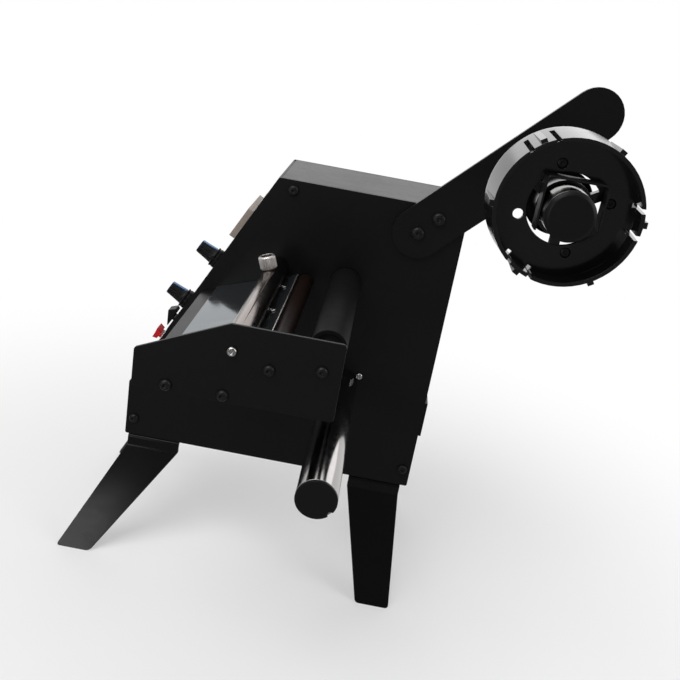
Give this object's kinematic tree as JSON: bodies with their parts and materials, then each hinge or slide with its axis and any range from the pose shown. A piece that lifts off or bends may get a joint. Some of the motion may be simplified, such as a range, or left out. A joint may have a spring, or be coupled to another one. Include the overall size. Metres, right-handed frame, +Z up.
{
  "type": "label dispenser",
  "caption": "Desk label dispenser: black sheet-metal body on splayed legs, roll arm with core hub, peel table with rollers, rewind shaft and a sloped control panel.",
  "frame": {"origin": "middle of the machine's footprint, on the desk", "axes": "+Z up, +X towards the rear of the machine, +Y away from the side that carries the rollers"},
  "size_m": [0.3436, 0.285, 0.4029],
  "materials": {
    "black_coat": "satin powder coat",
    "black_steel": "black oxide",
    "polished_steel": "mirror polished",
    "plain_steel": "satin",
    "zinc": "satin",
    "roller_rubber": "satin",
    "black_plastic": "satin",
    "gloss_black": "gloss",
    "beige_plastic": "satin",
    "pale_plastic": "satin",
    "blue_plastic": "satin",
    "red_plastic": "gloss",
    "green_board": "solder mask"
  },
  "bodies": {
    "machine": {"side_plate_near": "black_coat", "side_plate_far": "black_coat", "roof_cover": "black_coat", "base_plate": "black_coat", "control_panel": "black_coat", "rear_cover": "black_coat", "front_leg_near": "black_coat", "rear_leg_near": "black_coat", "front_leg_far": "black_coat", "rear_leg_far": "black_coat", "outer_plate": "black_coat", "peel_table": "black_coat", "roll_arm": "black_coat", "casing_screw_front": "black_steel", "casing_screw_rear": "black_steel", "casing_screw_top": "black_steel", "table_screw_front": "black_steel", "table_screw_rear": "black_steel", "rear_spindle_screw": "black_steel", "guide_spindle_screw": "black_steel", "arm_screw_lower": "black_steel", "arm_screw_upper": "black_steel", "roll_shaft_bolt": "black_steel", "peel_plate": "polished_steel", "press_bar": "polished_steel", "roll_shaft": "polished_steel", "peel_screw_inner": "polished_steel", "peel_screw_outer": "polished_steel", "press_bar_screw": "polished_steel", "motor_screw": "polished_steel", "rear_spindle": "plain_steel", "guide_spindle": "plain_steel", "roll_shaft_cap": "black_plastic", "mode_switch": "black_plastic", "power_inlet": "black_plastic", "counter_window": "gloss_black", "rewind_gear_motor": "zinc", "speed_knob_potentiometer": "zinc", "delay_knob_potentiometer": "zinc", "power_supply": "zinc", "counter": "beige_plastic", "reset_plate": "pale_plastic", "power_switch": "pale_plastic", "control_board": "green_board"},
    "speed_control": {"speed_knob": "black_plastic", "speed_knob_cap": "blue_plastic"},
    "delay_control": {"delay_knob": "black_plastic", "delay_knob_cap": "blue_plastic"},
    "mode_control": {"mode_lever": "black_plastic"},
    "power_control": {"power_rocker": "red_plastic"},
    "reset_control": {"reset_button": "black_plastic"},
    "thumb_screw_body": {"thumb_screw": "plain_steel"},
    "rear_roller_body": {"rear_roller": "roller_rubber"},
    "guide_roller_body": {"guide_roller": "black_plastic"},
    "rewind_body": {"rewind_shaft": "polished_steel", "rewind_end_cap": "black_plastic", "rewind_drive_plug": "zinc"},
    "collar_body": {"stop_collar": "black_plastic"},
    "hub_body": {"core_hub": "gloss_black", "hub_spring": "black_steel"}
  },
  "joints": [
    {"name": "speed_knob_turn", "type": "hinge", "parent": "machine", "child": "speed_control", "pos_m": [-0.08488, 0.06649, 0.22923], "axis": [-0.885, 0, 0.4656], "range_deg": [-140, 140]},
    {"name": "delay_knob_turn", "type": "hinge", "parent": "machine", "child": "delay_control", "pos_m": [-0.10443, 0.06649, 0.19206], "axis": [-0.885, 0, 0.4656], "range_deg": [-140, 140]},
    {"name": "mode_lever_tilt", "type": "hinge", "parent": "machine", "child": "mode_control", "pos_m": [-0.113, 0.06649, 0.17578], "axis": [0, 1, 0], "range_deg": [0, 16]},
    {"name": "power_rocker_tilt", "type": "hinge", "parent": "machine", "child": "power_control", "pos_m": [-0.12161, 0.06649, 0.15941], "axis": [0, 1, 0], "range_deg": [0, 15]},
    {"name": "reset_button_press", "type": "slide", "parent": "machine", "child": "reset_control", "axis": [0.885, 0, -0.4656], "range_m": [0, 0.0012], "stiffness_N_per_m": 400, "springref_m": -0.001},
    {"name": "thumb_screw_turn", "type": "hinge", "parent": "machine", "child": "thumb_screw_body", "pos_m": [-0.03513, -0.00401, 0.24537], "axis": [-0.3338, 0, 0.9426], "range_deg": [-360, 360]},
    {"name": "rear_roller_spin", "type": "hinge", "parent": "machine", "child": "rear_roller_body", "pos_m": [-0.01409, 0.02749, 0.2383], "axis": [0, 1, 0], "continuous": true},
    {"name": "guide_roller_spin", "type": "hinge", "parent": "machine", "child": "guide_roller_body", "pos_m": [0.01401, 0.02749, 0.2431], "axis": [0, 1, 0], "continuous": true},
    {"name": "rewind_spin", "type": "hinge", "parent": "machine", "child": "rewind_body", "pos_m": [0.02316, 0.02749, 0.1644], "axis": [0, 1, 0], "continuous": true},
    {"name": "hub_slide", "type": "slide", "parent": "machine", "child": "collar_body", "axis": [0, 1, 0], "range_m": [0, 0.12]},
    {"name": "hub_spin", "type": "hinge", "parent": "collar_body", "child": "hub_body", "pos_m": [0.11798, 0.02749, 0.34902], "axis": [0, 1, 0], "continuous": true}
  ]
}
